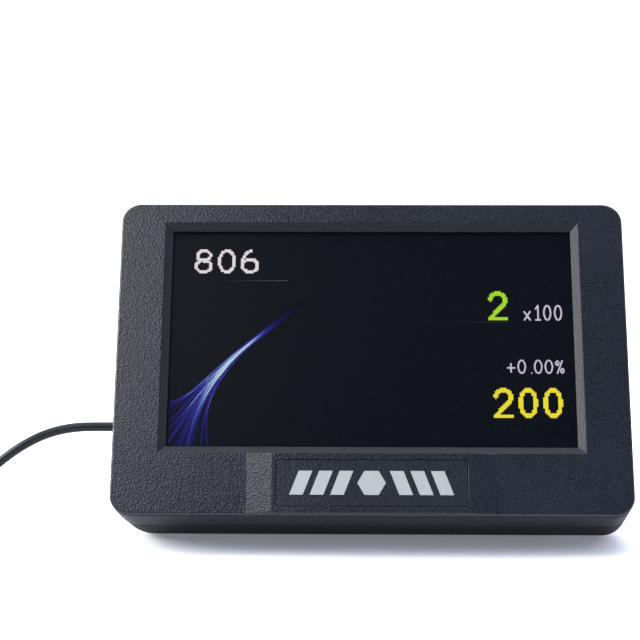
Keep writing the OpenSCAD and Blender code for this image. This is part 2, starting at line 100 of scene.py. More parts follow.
CAMERA_PITCH = math.radians(10)
CAMERA_TURN = math.radians(1.125)
CAMERA_ROLL = math.radians(-0.07)
CAMERA_DISTANCE = 0.460
CAMERA_LEFT = 0.0035
CAMERA_ABOVE = 0.0084
LENS = 107.6


def make_camera():
    forward = Vector((0, math.cos(CAMERA_PITCH), -math.sin(CAMERA_PITCH)))
    up = Vector((0, math.sin(CAMERA_PITCH), math.cos(CAMERA_PITCH)))
    data = bpy.data.cameras.new("camera")
    data.lens = LENS
    data.sensor_width = 36
    data.clip_start = 0.01
    camera = add_object("camera", data)
    place = face_centre - Vector((CAMERA_LEFT, 0, 0)) - forward * CAMERA_DISTANCE + up * CAMERA_ABOVE
    turn = Matrix.Rotation(CAMERA_TURN, 4, "Z")
    tilt = Matrix.Rotation(math.radians(90) - CAMERA_PITCH, 4, "X") @ Matrix.Rotation(CAMERA_ROLL, 4, "Z")
    camera.matrix_world = Matrix.Translation(place) @ turn @ tilt
    scene.camera = camera


make_camera()

# ---------------------------------------------------------------- material helpers


class Nodes:
    """A short way to write a node tree."""

    def __init__(self, name):
        self.material = bpy.data.materials.new(name)
        self.material.use_nodes = True
        self.tree = self.material.node_tree
        self.shader = self.tree.nodes["Principled BSDF"]

    def add(self, kind, **values):
        node = self.tree.nodes.new(kind)
        for key, value in values.items():
            if hasattr(node, key):
                setattr(node, key, value)
            else:
                node.inputs[key.replace("_", " ")].default_value = value
        return node

    def link(self, output, target):
        self.tree.links.new(output, target)

    def coordinates(self, scale=(1, 1, 1)):
        place = self.add("ShaderNodeTexCoord")
        if scale == (1, 1, 1):
            return place.outputs["Object"]
        mapping = self.add("ShaderNodeMapping")
        mapping.inputs["Scale"].default_value = scale
        self.link(place.outputs["Object"], mapping.inputs["Vector"])
        return mapping.outputs["Vector"]

    def noise(self, vector, size, detail=3.0, roughness=0.55):
        """Noise whose features are about size metres across."""
        node = self.add("ShaderNodeTexNoise", Scale=1 / size, Detail=detail, Roughness=roughness)
        self.link(vector, node.inputs["Vector"])
        return node.outputs["Fac"]

    def cells(self, vector, size):
        node = self.add("ShaderNodeTexVoronoi", feature="SMOOTH_F1", Scale=1 / size)
        self.link(vector, node.inputs["Vector"])
        return node.outputs["Distance"]

    def ramp(self, value, stops):
        """Runs from the first stop's colour to the second's; a stop is (place, colour)."""
        node = self.add("ShaderNodeValToRGB")
        for element, (place, colour) in zip(node.color_ramp.elements, stops):
            element.position = place
            element.color = (*colour, 1)
        self.link(value, node.inputs["Fac"])
        return node.outputs["Color"]

    def span(self, value, low, high):
        """Maps 0..1 to low..high."""
        node = self.add("ShaderNodeMapRange")
        node.inputs["To Min"].default_value = low
        node.inputs["To Max"].default_value = high
        self.link(value, node.inputs["Value"])
        return node.outputs["Result"]

    def math(self, operation, a, b):
        node = self.add("ShaderNodeMath", operation=operation)
        for socket, value in zip(node.inputs, (a, b)):
            if isinstance(value, (int, float)):
                socket.default_value = value
            else:
                self.link(value, socket)
        return node.outputs["Value"]

    def bump(self, height, depth):
        """Bump whose height of 1 is depth metres high."""
        node = self.add("ShaderNodeBump", Strength=1.0, Distance=depth)
        self.link(height, node.inputs["Height"])
        self.link(node.outputs["Normal"], self.shader.inputs["Normal"])

    def keep(self, **values):
        """Constant values on the shader's own sockets."""
        for key, value in values.items():
            self.shader.inputs[key.replace("_", " ")].default_value = value


def shade(colour, factor):
    return tuple(min(1.0, c * factor) for c in colour)


def mottled(name, colour, roughness, metallic=0.0, size=0.004, spread=0.12, grain=None, grain_depth=0.0,
            rough_spread=0.06, stretch=(1, 1, 1), specular=0.5):
    """A surface with slow colour variation, uneven gloss and, where grain is given, a fine relief."""
    n = Nodes(name)
    vector = n.coordinates(stretch)
    slow = n.noise(vector, size, detail=4)
    n.link(n.ramp(slow, [(0.3, shade(colour, 1 - spread)), (0.7, shade(colour, 1 + spread))]),
           n.shader.inputs["Base Color"])
    fine = n.noise(vector, size * 0.37, detail=5, roughness=0.65)
    n.link(n.span(fine, roughness - rough_spread, roughness + rough_spread), n.shader.inputs["Roughness"])
    n.keep(Metallic=metallic, Specular_IOR_Level=specular)
    if grain:
        n.bump(n.noise(vector, grain, detail=2, roughness=0.5), grain_depth)
    return n.material


SLOW_SIZE = 0.03
GRAIN_GLOSS = 0.08


def grained_plastic(name, colour, roughness, cell, depth, spread=0.25, specular=0.5):
    """Moulded plastic with a spark-eroded grain: soft rounded pits of about one cell, in metres,
    with painted glints of the same size: lighter flecks in the colour that stand in for glints on the grain,
    over a slow random tone."""
    n = Nodes(name)
    vector = n.coordinates()
    pits = n.cells(vector, cell)
    rough_noise = n.noise(vector, cell * 1.1, detail=1, roughness=0.5)
    relief = n.math("ADD", n.math("MULTIPLY", pits, 0.8), n.math("MULTIPLY", rough_noise, 0.6))
    n.bump(relief, depth)
    slow = n.noise(vector, SLOW_SIZE, detail=2)
    # painted glints: fine flecks lighter in colour that stand in for glints on the grain; slow is the
    # plastic's own random tone
    painted_glints = n.noise(vector, cell * 0.9, detail=2, roughness=0.7)
    tone_and_painted_glints = n.math("ADD", n.math("MULTIPLY", slow, 0.2), n.math("MULTIPLY", painted_glints, 0.8))
    # The colour ramp paints the glints into the base colour, and spread sets how bright they are
    n.link(n.ramp(tone_and_painted_glints, [(0.38, shade(colour, 1 - spread)), (0.62, shade(colour, 1 + spread))]),
           n.shader.inputs["Base Color"])
    gloss = n.span(rough_noise, roughness - GRAIN_GLOSS, roughness + GRAIN_GLOSS)
    n.link(gloss, n.shader.inputs["Roughness"])
    n.keep(Specular_IOR_Level=specular)
    return n.material


# ---------------------------------------------------------------- mesh helpers

ROD_SIDES = 40
SHARP_ANGLE = 50  # edges sharper than this many degrees keep a crease in their shading
PAST = 1.0  # how far a cutting solid runs past what it cuts


def mesh_from(name, points, faces):
    """A mesh drawn in head coordinates."""
    mesh = bpy.data.meshes.new(name)
    mesh.from_pydata([tuple(HEAD @ Vector(p)) for p in points], [], faces)
    mesh.update()
    return mesh


def round_loop(half_w, half_h, radii, steps, centre=(0, 0)):
    """Points round a rectangle with rounded corners, anticlockwise from the lower left corner.
    radii go lower left, lower right, upper right, upper left."""
    points = []
    corners = ((-1, -1, 180), (1, -1, 270), (1, 1, 0), (-1, 1, 90))
    for (sx, sz, start), r in zip(corners, radii):
        cx = centre[0] + sx * (half_w - r)
        cz = centre[1] + sz * (half_h - r)
        for i in range(steps + 1):
            a = math.radians(start + 90 * i / steps)
            points.append((cx + r * math.cos(a), cz + r * math.sin(a)))
    return points


def loft(loops):
    """Points and faces of a capped body through loops of (x, depth, z) points."""
    count = len(loops[0])
    points = [p for loop in loops for p in loop]
    faces = []
    for i in range(len(loops) - 1):
        a, b = i * count, (i + 1) * count
        for k in range(count):
            m = (k + 1) % count
            faces.append((a + k, a + m, b + m, b + k))
    faces.append(tuple(reversed(range(count))))
    faces.append(tuple(range((len(loops) - 1) * count, len(loops) * count)))
    return points, faces


def at_depth(loop, depth):
    return [(x, depth, z) for x, z in loop]


def block(low, high):
    """A box between two corners, in head coordinates."""
    (x0, y0, z0), (x1, y1, z1) = low, high
    loop = [(x0, z0), (x1, z0), (x1, z1), (x0, z1)]
    return loft([at_depth(loop, y0), at_depth(loop, y1)])


def rod(radius, start, end, along=1):
    """A round bar between two points that differ along one axis."""
    first, second = [i for i in range(3) if i != along]
    loops = []
    for place in (start, end):
        loop = []
        for k in range(ROD_SIDES):
            a = 2 * math.pi * k / ROD_SIDES
            p = list(place)
            p[first] += radius * math.cos(a)
            p[second] += radius * math.sin(a)
            loop.append(tuple(p))
        loops.append(loop)
    return loft(loops)


def outward(mesh):
    work = bmesh.new()
    work.from_mesh(mesh)
    bmesh.ops.recalc_face_normals(work, faces=work.faces)
    work.to_mesh(mesh)
    work.free()


def solid(name, shape):
    mesh = mesh_from(name, *shape)
    outward(mesh)
    return add_object(name, mesh)


def apply_modifiers(piece):
    graph = bpy.context.evaluated_depsgraph_get()
    mesh = bpy.data.meshes.new_from_object(piece.evaluated_get(graph))
    piece.modifiers.clear()
    piece.data = mesh


def combine(piece, others, operation):
    """Joins or cuts a piece with other solids, which are used up."""
    for other in others:
        modifier = piece.modifiers.new("combine", "BOOLEAN")
        modifier.operation = operation
        modifier.solver = "EXACT"
        modifier.object = other
        apply_modifiers(piece)
        mesh = other.data
        bpy.data.objects.remove(other)
        bpy.data.meshes.remove(mesh)


def soften(piece, width, splits, angle=30, crisp=None, clamp=False):
    """Rounds the edges sharper than angle, and smooths the shading over them with flat faces kept flat.
    splits are planes (axis, place in head coordinates) that part the faces round an opening.
    crisp tells from an edge's two ends, in head coordinates, whether its shading stays sharp."""
    work = bmesh.new()
    work.from_mesh(piece.data)
    bmesh.ops.remove_doubles(work, verts=work.verts, dist=1e-6)
    bmesh.ops.dissolve_limit(work, angle_limit=math.radians(0.5), verts=work.verts, edges=work.edges)
    for axis, place in splits:
        spot, normal = Vector((0, 0, 0)), Vector((0, 0, 0))
        spot[axis], normal[axis] = place, 1
        bmesh.ops.bisect_plane(
            work, geom=work.verts[:] + work.edges[:] + work.faces[:], dist=1e-7,
            plane_co=HEAD @ spot, plane_no=(HEAD.to_3x3() @ normal).normalized(),
        )
    work.to_mesh(piece.data)
    work.free()
    bevel = piece.modifiers.new("edges", "BEVEL")
    bevel.width = width * MM
    bevel.segments = 2
    bevel.limit_method = "ANGLE"
    bevel.angle_limit = math.radians(angle)
    bevel.use_clamp_overlap = clamp
    apply_modifiers(piece)
    piece.data.shade_smooth()
    piece.data.set_sharp_from_angle(angle=math.radians(SHARP_ANGLE))
    if crisp:
        to_head = HEAD.inverted()
        spots = [to_head @ v.co for v in piece.data.vertices]
        for edge in piece.data.edges:
            if crisp(*(spots[i] for i in edge.vertices)):
                edge.use_edge_sharp = True
    normals = piece.modifiers.new("normals", "WEIGHTED_NORMAL")
    normals.keep_sharp = True
    apply_modifiers(piece)


def adopt(piece, materials, node):
    """Turns a working solid into a shown piece of the housing that stands for a CAD node."""
    piece.data.materials.clear()
    for material in materials:
        piece.data.materials.append(material)
    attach(piece, "housing")
    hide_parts(node)


# ---------------------------------------------------------------- the lead

CORD_D = 2.4
TURN_GAP = CORD_D
COIL_X = -123.0
COIL_Y = 2.0
COIL_ROWS = 4
TURN_R = 13.5
OUTER_R = TURN_R + 1.5 * TURN_GAP
BOOT_DEPTH = 32.0
BOOT_Z = -8.7
BOOT_TIP = Vector((-55.0, BOOT_DEPTH, BOOT_Z))
TURN_STEPS = 24
CHANGE_STEPS = 8  # the last steps of a turn, over which it moves to the next one's place


def coil_slots():
    """Radius and height of each turn, in the order they are wound: flat layers, then down the outside."""
    radii = [OUTER_R - i * TURN_GAP for i in range(COIL_ROWS)]
    inner = radii[1:]
    heights = [CORD_D / 2 + i * TURN_GAP for i in range(COIL_ROWS)]
    slots = [(r, heights[0]) for r in radii]
    slots += [(r, heights[1]) for r in reversed(inner)]
    slots += [(r, heights[2]) for r in inner]
    slots += [(r, heights[3]) for r in reversed(inner)]
    slots += [(radii[0], h) for h in reversed(heights[1:])]
    return slots


def cord_route():
    """Centreline of the lead, in millimetres of the frame: boot, table, coil, plug."""
    tip = HEAD @ BOOT_TIP / MM
    rear = COIL_Y + OUTER_R
    left = COIL_X - OUTER_R
    route = [
        (tip.x, tip.y, tip.z), (-60, 19.1, 21.6), (-65, 19.1, 21.7), (-70, 19.1, 21.7),
        (-75, 19.1, 21.5), (-80, 19.1, 20.6), (-85, 19.1, 18.8), (-90, 19.1, 16), (-94, 19.1, 13.1),
        (-98, 19.1, 9.8), (-102, 19.1, 6.5), (-106, 19.1, 3.8), (-110, 19.1, 2), (-114, 19.1, 1.3),
        (-119, 19, 1.2), (COIL_X, rear, 1.2),
    ]
    slots = coil_slots()
    last_turn = len(slots) - 1
    for i in range(1, int((last_turn + 0.25) * TURN_STEPS) + 1):
        turn, step = divmod(i, TURN_STEPS)
        radius, height = slots[turn]
        if step > TURN_STEPS - CHANGE_STEPS and turn < last_turn:
            next_radius, next_height = slots[turn + 1]
            share = (step - TURN_STEPS + CHANGE_STEPS) / CHANGE_STEPS
            share = share * share * (3 - 2 * share)
            radius += (next_radius - radius) * share
            height += (next_height - height) * share
        a = math.radians(90 + 360 * i / TURN_STEPS)
        route.append((COIL_X + radius * math.cos(a), COIL_Y + radius * math.sin(a), height))
    # How far the tail has run to the front from the coil's left side, and its height
    tail = [(5, 3.2), (10, 2.8), (15, 2.8), (20, 3.3), (25, 3.85), (28, 4), (29, 4)]
    route += [(left, COIL_Y - along, height) for along, height in tail]
    return route


def make_cord(material):
    route = cord_route()
    curve = bpy.data.curves.new("data_lead", "CURVE")
    curve.dimensions = "3D"
    curve.bevel_depth = CORD_D / 2 * MM
    curve.bevel_resolution = 5
    curve.resolution_u = 4
    curve.use_fill_caps = True
    spline = curve.splines.new("BEZIER")
    spline.bezier_points.add(len(route) - 1)
    points = [Vector(p) * MM for p in route]
    for i, (knot, p) in enumerate(zip(spline.bezier_points, points)):
        before = points[max(i - 1, 0)]
        after = points[min(i + 1, len(points) - 1)]
        tangent = (after - before).normalized()
        back = (p - points[i - 1]).length / 3 if i else (points[1] - p).length / 3
        ahead = (points[i + 1] - p).length / 3 if i < len(points) - 1 else back
        knot.co = p
        knot.handle_left_type = knot.handle_right_type = "FREE"
        knot.handle_left = p - tangent * back
        knot.handle_right = p + tangent * ahead
    lead = add_object("data_lead", curve)
    curve.materials.append(material)
    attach(lead, "housing")
    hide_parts("cord_cable", "cord_coil", "cord_tail")


jacket = mottled("lead_jacket", (0.006, 0.007, 0.009), 0.3, size=0.003, spread=0.2, grain=0.0004,
                 grain_depth=0.00001, specular=0.18)
make_cord(jacket)

# ---------------------------------------------------------------- front shell

face_grain = grained_plastic("face_grain", (0.007, 0.008, 0.010), 0.21, 0.00037, 0.00009, spread=0.8,
                             specular=0.34)
wall_grain = grained_plastic("wall_grain", (0.006, 0.007, 0.010), 0.48, 0.00037, 0.00011, spread=0.8,
                             specular=0.13)
window_bevel = grained_plastic("window_bevel", (0.006, 0.007, 0.009), 0.32, 0.00037, 0.00004, spread=0.8,
                               specular=0.135)
CORNER_STEPS = 16
EDGE_R = 0.55
GROOVE_AT = 0.75
GROOVE_SINK = 0.28
FLARE_FROM = 1.8
PAD_ROOT = 0.8  # how deep the pad reaches into the lip behind it
FRONT_SOFT = 0.09
WALL_FROM = 0.45  # depth at which the walls' grain starts
CORNER_REACH = 4.5  # how far round a corner the walls' grain reaches, measured on x + z


def face_loop(inset, depth):
    """Outline of the front shell at a depth; its corners open out towards the seam."""
    share = max(depth - FLARE_FROM, 0) / (PARTING - FLARE_FROM)
    radii = [FACE_R + (r - FACE_R) * share - inset for r in SEAM_RADII]
    return at_depth(round_loop(FACE_W / 2 - inset, FACE_H / 2 - inset, radii, CORNER_STEPS), depth)


def on_pad_line(a, b):
    """Whether an edge lies on a foot or crest of the pad's ramps."""
    if max(a.z, b.z) > PAD_TOP + 0.1 or abs(a.x - b.x) > 0.03:
        return False
    return any(abs(abs(a.x) - line) < 0.03 for line in (PAD_FOOT, PAD_FLAT))


def make_front_shell():
    profile = []  # (inset, depth) of each loop, over the rounded edge and the groove to the seam
    for i in range(6):
        a = math.radians(90 * i / 5)
        profile.append((EDGE_R * (1 - math.sin(a)), EDGE_R * (1 - math.cos(a))))
    profile += [(0, GROOVE_AT), (GROOVE_SINK, GROOVE_AT + 0.1), (GROOVE_SINK, GROOVE_AT + 0.7),
                (0.05, GROOVE_AT + 0.9), (0, GROOVE_AT + 1.9), (0, 6), (0, PARTING - 0.2), (0.15, PARTING)]
    shell = solid("front_shell", loft([face_loop(inset, depth) for inset, depth in profile]))
    base = -FACE_H / 2 + EDGE_R * 0.6
    outline = [(-PAD_FOOT, 0), (-PAD_FLAT, -PAD_RISE), (PAD_FLAT, -PAD_RISE), (PAD_FOOT, 0),
               (PAD_FOOT, PAD_ROOT), (-PAD_FOOT, PAD_ROOT)]
    pad = solid("pad", loft([[(x, d, z) for x, d in outline] for z in (base, PAD_TOP)]))
    combine(shell, [pad], "UNION")
    loops = []
    for wider, depth in ((BEVEL_W, -PAD_RISE - 2 * PAST), (BEVEL_W, 0), (0, BEVEL_D), (0, PARTING + PAST)):
        half_w, half_h = WINDOW_W / 2 + wider, WINDOW_H / 2 + wider
        loops.append([(sx * half_w, depth, WINDOW_Z + sz * half_h)
                      for sx, sz in ((-1, -1), (1, -1), (1, 1), (-1, 1))])
    window = solid("window", loft(loops))
    cavity_loop = round_loop(FACE_W / 2 - WALL, FACE_H / 2 - WALL, [FACE_R - WALL] * 4, 6)
    cavity = solid("cavity", loft([at_depth(cavity_loop, LIP_T), at_depth(cavity_loop, PARTING + PAST)]))
    recess_loop = round_loop(BADGE_W / 2, BADGE_H / 2, [BADGE_R] * 4, 5, (0, BADGE_Z))
    recess = solid("recess", loft([at_depth(recess_loop, -PAD_RISE - PAST), at_depth(recess_loop, 0)]))
    combine(shell, [cavity, window, recess], "DIFFERENCE")
    soften(shell, FRONT_SOFT, ((0, 0), (2, WINDOW_Z)), crisp=on_pad_line)
    adopt(shell, [face_grain, wall_grain, window_bevel], "front_bezel")
    to_head = HEAD.inverted()
    for polygon in shell.data.polygons:
        facing = (to_head.to_3x3() @ polygon.normal).normalized().y
        polygon.material_index = grain_at(to_head @ polygon.center, facing)


def grain_at(centre, facing):
    """Which grain a face of the front shell has: 0 the front's, 1 the walls', 2 the window bevel's."""
    x, z = abs(centre.x), abs(centre.z)
    if centre.y < 0.05 and facing < -0.95:
        return 0
    at_wall = x > FACE_W / 2 - 1 or z > FACE_H / 2 - 1 or x + z > (FACE_W + FACE_H) / 2 - CORNER_REACH
    if centre.y > WALL_FROM and at_wall:
        return 1
    if x < WINDOW_W / 2 + BEVEL_W and abs(centre.z - WINDOW_Z) < WINDOW_H / 2 + BEVEL_W:
        return 2
    return 0


make_front_shell()

# ---------------------------------------------------------------- rear shell

REAR_ROUND = 10.0
STRAIGHT_END = HEAD_DEPTH - REAR_ROUND
REAR_RADII = (9.0, 5.5, 8.0, 8.0)
REAR_STEPS = 14
LEAST_R = 0.8
REAR_SOFT = 0.1
rear_grain = grained_plastic("rear_grain", (0.006, 0.007, 0.009), 0.6, 0.0004, 0.00008, spread=0.8,
                             specular=0.11)


def rear_loop(depth, shrink=0.0):
    """Outline of the rear shell at a depth, shrunk by a wall thickness."""
    round_r = REAR_ROUND - shrink
    if depth <= STRAIGHT_END:
        share = (depth - PARTING) / (STRAIGHT_END - PARTING)
        inset = 0.0
        radii = [seam + (r - seam) * max(share, 0) for seam, r in zip(SEAM_RADII, REAR_RADII)]
    else:
        out = min((depth - STRAIGHT_END) / round_r, 1.0)
        inset = round_r * (1 - math.sqrt(1 - out * out))
        radii = REAR_RADII
    total = inset + shrink
    radii = [max(r - total, LEAST_R) for r in radii]
    return at_depth(round_loop(FACE_W / 2 - total, FACE_H / 2 - total, radii, REAR_STEPS), depth)


def rear_depths(shrink):
    round_r = REAR_ROUND - shrink
    angles = [math.radians(7.5 * i) for i in range(1, 13)]
    return [PARTING + 4, STRAIGHT_END] + [STRAIGHT_END + round_r * math.sin(a) for a in angles]


RIM = 0.2  # width of the step at the seam
RIM_STEP = 0.3  # how much narrower the step is than the case
CASE_X = 55.9
CASE_Z = 33.0
CASE_SEAT = 21.0
SEAT_R = 2.5
POST_R = 2.9
MOUNT_XZ = 20.0
INSERT_R = 2.3
INSERT_END = 22.0
INSERT_CUT = 29.0
VENT_X = 42.0
VENT_Z = 18.0
VENT_W = 1.5
VENT_H = 12.0
VENT_PITCH = 3.6
VENTS = 6
VENT_FROM = 24.0
VENT_TO = 30.0
LABEL_POCKET = ((24, HEAD_DEPTH - 0.3, -20), (52, HEAD_DEPTH + PAST, 0))
OUTLET = ((-43, 26, -15.2), (-28, 38.2, -2.2))
OUTLET_SOFT = 1.2
BOOT_HOLE_R = 3.2
BOOT_HOLE_X = (-46, -40)
HINGE_DEPTH = HEAD_DEPTH + 3.2
HINGE_Z = 12.0
PIN_HOLE_R = 1.52
PIN_HOLE_X = 30
LUG_R = 2.95
LUG_IN = 12.5
LUG_OUT = 16.5
LUG_FOOT = 1.2


def make_rear_shell():
    start = [(x * (1 - RIM_STEP / FACE_W), PARTING, z * (1 - RIM_STEP / FACE_H))
             for x, _, z in rear_loop(PARTING)]
    outer = [start, rear_loop(PARTING + RIM)] + [rear_loop(d) for d in rear_depths(0)]
    shell = solid("rear_shell", loft(outer))
    hollow = [rear_loop(PARTING, WALL)] + [rear_loop(d, WALL) for d in rear_depths(WALL)]
    hollow[0] = [(x, PARTING - PAST, z) for x, _, z in hollow[0]]
    combine(shell, [solid("hollow", loft(hollow))], "DIFFERENCE")
    posts = [(sx * CASE_X, sz * CASE_Z) for sx in (-1, 1) for sz in (-1, 1)]
    combine(shell, rear_additions(posts), "UNION")
    combine(shell, rear_cuts(posts), "DIFFERENCE")
    splits = [(0, sx * x) for x in (MOUNT_XZ, CASE_X) for sx in (-1, 1)]
    splits += [(2, z) for z in (MOUNT_XZ, VENT_Z, HINGE_Z, BOOT_TIP.z, -MOUNT_XZ)]
    soften(shell, REAR_SOFT, splits, angle=50)
    adopt(shell, [rear_grain], "rear_cover")


def rear_additions(posts):
    """The lead's outlet box, the hinge lugs and the posts for the case screws."""
    outlet = solid("outlet", block(*OUTLET))
    bevel = outlet.modifiers.new("edges", "BEVEL")
    bevel.width = OUTLET_SOFT * MM
    bevel.segments = 4
    apply_modifiers(outlet)
    added = [outlet]
    for side in (-1, 1):
        added.append(solid("lug", lug_shape(*sorted((side * LUG_IN, side * LUG_OUT)))))
    for x, z in posts:
        added.append(solid("post", rod(POST_R, (x, PARTING + 0.2, z), (x, CASE_SEAT + 2.5, z))))
    return added


def rear_cuts(posts):
    """The holes and pockets of the rear shell."""
    back = HEAD_DEPTH + PAST
    cuts = [solid("seat", rod(SEAT_R, (x, CASE_SEAT, z), (x, back, z))) for x, z in posts]
    for x in (-MOUNT_XZ, MOUNT_XZ):
        for z in (-MOUNT_XZ, MOUNT_XZ):
            cuts.append(solid("insert_hole", rod(INSERT_R, (x, INSERT_END, z), (x, INSERT_CUT, z))))
    for i in range(VENTS):
        centre = (VENT_X + (i - (VENTS - 1) / 2) * VENT_PITCH, VENT_Z)
        loop = round_loop(VENT_W / 2, VENT_H / 2, [VENT_W / 2 - 0.01] * 4, 6, centre)
        cuts.append(solid("vent", loft([at_depth(loop, VENT_FROM), at_depth(loop, VENT_TO)])))
    cuts.append(solid("pocket", block(*LABEL_POCKET)))
    boot_hole = [(x, BOOT_DEPTH, BOOT_Z) for x in BOOT_HOLE_X]
    cuts.append(solid("cord_hole", rod(BOOT_HOLE_R, *boot_hole, along=0)))
    pin_hole = [(x, HINGE_DEPTH, HINGE_Z) for x in (-PIN_HOLE_X, PIN_HOLE_X)]
    cuts.append(solid("pin_hole", rod(PIN_HOLE_R, *pin_hole, along=0)))
    return cuts


def lug_shape(x0, x1):
    """A hinge lug: a round eye on a foot that spreads into the cover."""
    low, high = HINGE_Z - LUG_R - LUG_FOOT, HINGE_Z + LUG_R + LUG_FOOT
    outline = [(HEAD_DEPTH - 1, low), (HEAD_DEPTH, low)]
    for i in range(13):
        a = math.radians(-90 + 180 * i / 12)
        outline.append((HINGE_DEPTH + LUG_R * math.cos(a), HINGE_Z + LUG_R * math.sin(a)))
    outline += [(HEAD_DEPTH, high), (HEAD_DEPTH - 1, high)]
    return loft([[(x, depth, z) for depth, z in outline] for x in (x0, x1)])


make_rear_shell()

# ---------------------------------------------------------------- the picture on the screen

GLASS_DEPTH = 2.3
PICTURE_DEPTH = GLASS_DEPTH - 0.03
PIXEL = 95.04 / 480
GLASS_COLOUR = (0.0012, 0.0014, 0.0018)
GLASS_SPECULAR = 0.045
GLASS_ROUGH = 0.35


def picture_nodes(name):
    """The start of a material of the screen: dark anti-glare glass that gives off light."""
    n = Nodes(name)
    n.keep(Emission_Strength=1.0, Base_Color=(*GLASS_COLOUR, 1), Roughness=GLASS_ROUGH,
           Specular_IOR_Level=GLASS_SPECULAR)
    return n


def light(name, colour):
    """A lit part of the picture, with the slight unevenness of screen dots."""
    n = picture_nodes(name)
    fine = n.noise(n.coordinates(), 2.2 * PIXEL * MM, detail=1)
    n.link(n.ramp(fine, [(0.2, shade(colour, 0.82)), (0.8, colour)]), n.shader.inputs["Emission Color"])
    return n.material


def show_picture(name, mesh, material):
    piece = add_object(name, mesh)
    mesh.materials.append(material)
    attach(piece, "housing")


def arc(cx, cz, rx, rz, start, end, steps=24):
    return [(cx + rx * math.cos(math.radians(start + (end - start) * i / steps)),
             cz + rz * math.sin(math.radians(start + (end - start) * i / steps))) for i in range(steps + 1)]


# Strokes of each sign in a cell 10 wide and 16 high
SIGNS = {
    "0": [arc(5, 8, 5, 8, 0, 360, 48)],
    "1": [[(1.5, 12.5), (5, 16), (5, 0)], [(1.5, 0), (8.5, 0)]],
    "2": [[(0, 12)] + arc(5, 11.5, 5, 4.5, 175, -35) + [(0, 0), (10, 0)]],
    "6": [arc(5, 4.8, 5, 4.8, 0, 360, 40), arc(6.5, 6, 6.5, 10, 100, 190)],
    "8": [arc(5, 4.4, 5, 4.4, 0, 360, 40), arc(5, 12.2, 4.2, 3.8, 0, 360, 40)],
    "x": [[(0.5, 0), (9, 9)], [(0.5, 9), (9, 0)]],
    "+": [[(0, 6.5), (10, 6.5)], [(5, 1.5), (5, 11.5)]],
    ".": [[(4, 0), (4.8, 0)]],
    "%": [arc(2, 12.5, 2, 2.6, 0, 360), arc(9, 3, 2, 2.6, 0, 360), [(9, 15.5), (2, 0)]],
}
# Signs whose cell is narrower than 10
NARROW = {".": 4.5, "1": 8.0}


def distance_to(points, a, b):
    """Distance from each point to the line between a and b."""
    a, b = np.array(a), np.array(b)
    span = b - a
    share = np.clip(((points - a) @ span) / max(span @ span, 1e-9), 0, 1)
    return np.linalg.norm(points - a - share[:, None] * span, axis=1)


def runs(row):
    """Start and end of each run of lit dots along a row."""
    edges = np.flatnonzero(np.diff(np.concatenate(([0], row, [0]))))
    return zip(edges[::2], edges[1::2])


def make_sign_row(name, text, left, base, height, width, gap, stroke, dot, material):
    """A row of signs drawn in square dots, as a screen draws them. Sizes are in millimetres."""
    quads = []
    x = left
    for sign in text:
        cell_w = width * NARROW.get(sign, 10) / 10
        inner_w = width - stroke
        inner_h = height - stroke
        columns = int(round(cell_w / dot)) + 1
        rows = int(round(height / dot)) + 1
        grid = np.array([[(c + 0.5) * dot, (r + 0.5) * dot] for r in range(rows) for c in range(columns)])
        near = np.full(len(grid), 1e9)
        for line in SIGNS[sign]:
            path = [(stroke / 2 + px / 10 * inner_w, stroke / 2 + pz / 16 * inner_h) for px, pz in line]
            for a, b in zip(path, path[1:]):
                near = np.minimum(near, distance_to(grid, a, b))
        lit = (near < stroke / 2).reshape(rows, columns)
        for r in range(rows):
            for start, end in runs(lit[r]):
                quads.append((x + start * dot, base + r * dot, x + end * dot, base + (r + 1) * dot))
        x += cell_w + gap
    points, faces = [], []
    for x0, z0, x1, z1 in quads:
        n = len(points)
        points += at_depth([(x0, z0), (x1, z0), (x1, z1), (x0, z1)], PICTURE_DEPTH)
        faces.append((n, n + 1, n + 2, n + 3))
    show_picture(name, mesh_from(name, points, faces), material)


DIGIT_DOT = 2 * PIXEL
yellow = light("picture_yellow", (0.88, 0.76, 0.03))
lime = light("picture_lime", (0.40, 0.73, 0.02))
pale = light("picture_pale", (0.62, 0.55, 0.70))
rose = light("picture_rose", (0.80, 0.72, 0.76))
make_sign_row("picture_total", "200", 29.2, -15.0, 19 * DIGIT_DOT, 11.8 * DIGIT_DOT, 3.2 * DIGIT_DOT,
              2.5 * DIGIT_DOT, DIGIT_DOT, yellow)
make_sign_row("picture_count", "2", 28.4, 9.8, 19 * DIGIT_DOT, 11.8 * DIGIT_DOT, 0,
              2.5 * DIGIT_DOT, DIGIT_DOT, lime)
make_sign_row("picture_station", "806", -43.5, 21.9, 16 * DIGIT_DOT, 11.4 * DIGIT_DOT, 3 * DIGIT_DOT,
              1.9 * DIGIT_DOT, DIGIT_DOT, rose)
make_sign_row("picture_each", "x100", 36.9, 9.7, 4.1, 2.0, 0.62, 0.42, PIXEL / 2, pale)
make_sign_row("picture_discount", "+0.00%", 32.6, -3.9, 3.6, 2.05, 0.5, 0.38, PIXEL / 2, pale)


def bezier(p):
    """Points along a curve with four control points."""
    t = np.linspace(0, 1, 120)[:, None]
    p = [np.array(q, float) for q in p]
    return (1 - t) ** 3 * p[0] + 3 * (1 - t) ** 2 * t * p[1] + 3 * (1 - t) * t ** 2 * p[2] + t ** 3 * p[3]


